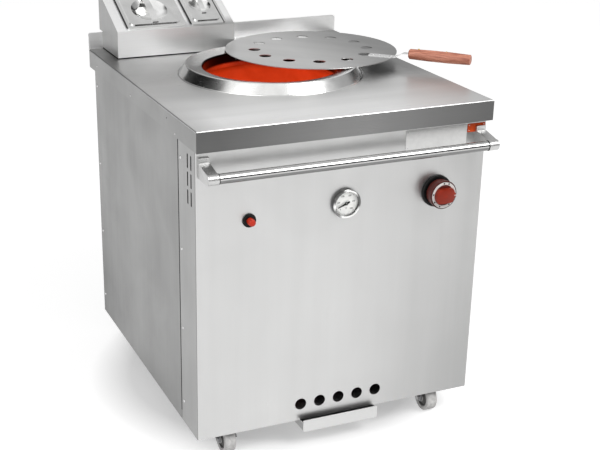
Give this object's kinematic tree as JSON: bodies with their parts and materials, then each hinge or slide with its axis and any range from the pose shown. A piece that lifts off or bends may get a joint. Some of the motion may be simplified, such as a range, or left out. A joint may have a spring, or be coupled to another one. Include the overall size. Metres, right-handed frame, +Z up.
{
  "type": "tandoor oven",
  "caption": "Gas tandoor: clay pot in a square stainless cabinet on casters, with a collared round mouth, perforated lid, towel rail, drip tray and a sloping pan stand.",
  "frame": {"origin": "on the floor under the middle of the worktop", "axes": "+X to the right of a cook who faces the controls, +Y from the front to the back, +Z up"},
  "size_m": [0.8842, 1.0025, 1.0637],
  "materials": {
    "worktop_steel": "brushed stainless sheet, grain from side to side",
    "panel_steel": "brushed stainless sheet, grain up and down",
    "frame_steel": "plain galvanised sheet",
    "collar_steel": "polished stainless steel",
    "clay": "fired clay, rough",
    "lagging": "loose insulating fill",
    "iron": "cast iron, rough",
    "brass": "machined brass",
    "copper_lead": "copper tube, dull",
    "ceramic": "glazed ceramic and white wire",
    "spindle_steel": "turned steel",
    "black_plastic": "black plastic",
    "knob_plastic": "dark red moulded plastic",
    "button_red": "red plastic",
    "bezel_chrome": "polished",
    "dial_white": "white enamel",
    "needle_black": "black enamel",
    "clear_glass": "clear",
    "rail_steel": "polished stainless tube",
    "tray_steel": "brushed stainless sheet",
    "zinc": "zinc-plated pressings",
    "wheel_rubber": "grey tread on a grey hub",
    "lid_steel": "plain stainless sheet",
    "wood": "oiled hardwood",
    "pan_steel": "bright stainless pressing"
  },
  "bodies": {
    "chassis": {"base_pan": "frame_steel", "corner_posts": "frame_steel", "top_rails": "frame_steel", "front_panel": "panel_steel", "left_panel": "panel_steel", "right_panel": "panel_steel", "rear_panel": "panel_steel", "worktop": "worktop_steel", "mouth_collar": "collar_steel", "clay_pot": "clay", "pot_insulation": "lagging", "drum_shell": "frame_steel", "seat_plate": "frame_steel", "ring_burner": "iron", "flame_deflector": "iron", "mixer_tube": "iron", "injector": "brass", "feed_pipe": "brass", "supply_pipe": "brass", "gas_valve": "brass", "knob_bezel": "black_plastic", "igniter_body": "black_plastic", "spark_electrode": "ceramic", "thermocouple": "copper_lead", "gauge_case": "bezel_chrome", "gauge_dial": "dial_white", "gauge_glass": "clear_glass", "gauge_probe": "spindle_steel", "rail_bar": "rail_steel", "rail_bracket_left": "rail_steel", "rail_bracket_right": "rail_steel", "tray_runners": "frame_steel", "caster_plates": "zinc", "pan_stand": "panel_steel"},
    "spindle": {"valve_spindle": "spindle_steel"},
    "knob": {"gas_knob": "knob_plastic"},
    "igniter": {"igniter_button": "button_red"},
    "needle": {"gauge_needle": "needle_black"},
    "tray": {"drip_tray": "tray_steel"},
    "lid": {"mouth_lid": "lid_steel", "lid_strap": "lid_steel", "lid_grip": "wood"},
    "left_pan": {"large_pan": "pan_steel"},
    "right_pan": {"small_pan": "pan_steel"},
    "left_pan_lid": {"large_pan_lid": "pan_steel", "large_lid_handle": "pan_steel"},
    "right_pan_lid": {"small_pan_lid": "pan_steel", "small_lid_handle": "pan_steel"},
    "caster_front_left": {"fork_front_left": "zinc", "axle_front_left": "zinc"},
    "roller_front_left": {"wheel_front_left": "wheel_rubber"},
    "caster_front_right": {"fork_front_right": "zinc", "axle_front_right": "zinc"},
    "roller_front_right": {"wheel_front_right": "wheel_rubber"},
    "caster_rear_left": {"fork_rear_left": "zinc", "axle_rear_left": "zinc"},
    "roller_rear_left": {"wheel_rear_left": "wheel_rubber"},
    "caster_rear_right": {"fork_rear_right": "zinc", "axle_rear_right": "zinc"},
    "roller_rear_right": {"wheel_rear_right": "wheel_rubber"}
  },
  "joints": [
    {"name": "spindle_turn", "type": "hinge", "parent": "chassis", "child": "spindle", "pos_m": [0.259, -0.441, 0.669], "axis": [0, 1, 0], "range_deg": [-270, 0]},
    {"name": "knob_push", "type": "slide", "parent": "spindle", "child": "knob", "axis": [0, 1, 0], "range_m": [0, 0.004], "stiffness_N_per_m": 600},
    {"name": "igniter_press", "type": "slide", "parent": "chassis", "child": "igniter", "axis": [0, 1, 0], "range_m": [0, 0.006], "stiffness_N_per_m": 900},
    {"name": "needle_turn", "type": "hinge", "parent": "chassis", "child": "needle", "pos_m": [0, -0.441, 0.669], "axis": [0, 1, 0], "range_deg": [-22, 248], "stiffness_Nm_per_rad": 0.0002},
    {"name": "tray_slide", "type": "slide", "parent": "chassis", "child": "tray", "axis": [0, -1, 0], "range_m": [0, 0.4]},
    {"name": "lid_lift", "type": "slide", "parent": "chassis", "child": "lid", "axis": [0, 0, 1], "range_m": [0, 0.2]},
    {"name": "left_pan_lift", "type": "slide", "parent": "chassis", "child": "left_pan", "axis": [0, -0.4226, 0.9063], "range_m": [0, 0.12]},
    {"name": "right_pan_lift", "type": "slide", "parent": "chassis", "child": "right_pan", "axis": [0, -0.4226, 0.9063], "range_m": [0, 0.12]},
    {"name": "left_pan_lid_lift", "type": "slide", "parent": "left_pan", "child": "left_pan_lid", "axis": [0, -0.4226, 0.9063], "range_m": [0, 0.1]},
    {"name": "right_pan_lid_lift", "type": "slide", "parent": "right_pan", "child": "right_pan_lid", "axis": [0, -0.4226, 0.9063], "range_m": [0, 0.1]},
    {"name": "swivel_front_left", "type": "hinge", "parent": "chassis", "child": "caster_front_left", "pos_m": [-0.301, -0.364, 0.085], "axis": [0, 0, 1], "continuous": true},
    {"name": "roll_front_left", "type": "hinge", "parent": "caster_front_left", "child": "roller_front_left", "pos_m": [-0.301, -0.392, 0.0375], "axis": [1, 0, 0], "continuous": true},
    {"name": "swivel_front_right", "type": "hinge", "parent": "chassis", "child": "caster_front_right", "pos_m": [0.301, -0.364, 0.085], "axis": [0, 0, 1], "continuous": true},
    {"name": "roll_front_right", "type": "hinge", "parent": "caster_front_right", "child": "roller_front_right", "pos_m": [0.301, -0.392, 0.0375], "axis": [1, 0, 0], "continuous": true},
    {"name": "swivel_rear_left", "type": "hinge", "parent": "chassis", "child": "caster_rear_left", "pos_m": [-0.301, 0.339, 0.085], "axis": [0, 0, 1], "continuous": true},
    {"name": "roll_rear_left", "type": "hinge", "parent": "caster_rear_left", "child": "roller_rear_left", "pos_m": [-0.301, 0.311, 0.0375], "axis": [1, 0, 0], "continuous": true},
    {"name": "swivel_rear_right", "type": "hinge", "parent": "chassis", "child": "caster_rear_right", "pos_m": [0.301, 0.339, 0.085], "axis": [0, 0, 1], "continuous": true},
    {"name": "roll_rear_right", "type": "hinge", "parent": "caster_rear_right", "child": "roller_rear_right", "pos_m": [0.301, 0.311, 0.0375], "axis": [1, 0, 0], "continuous": true}
  ]
}
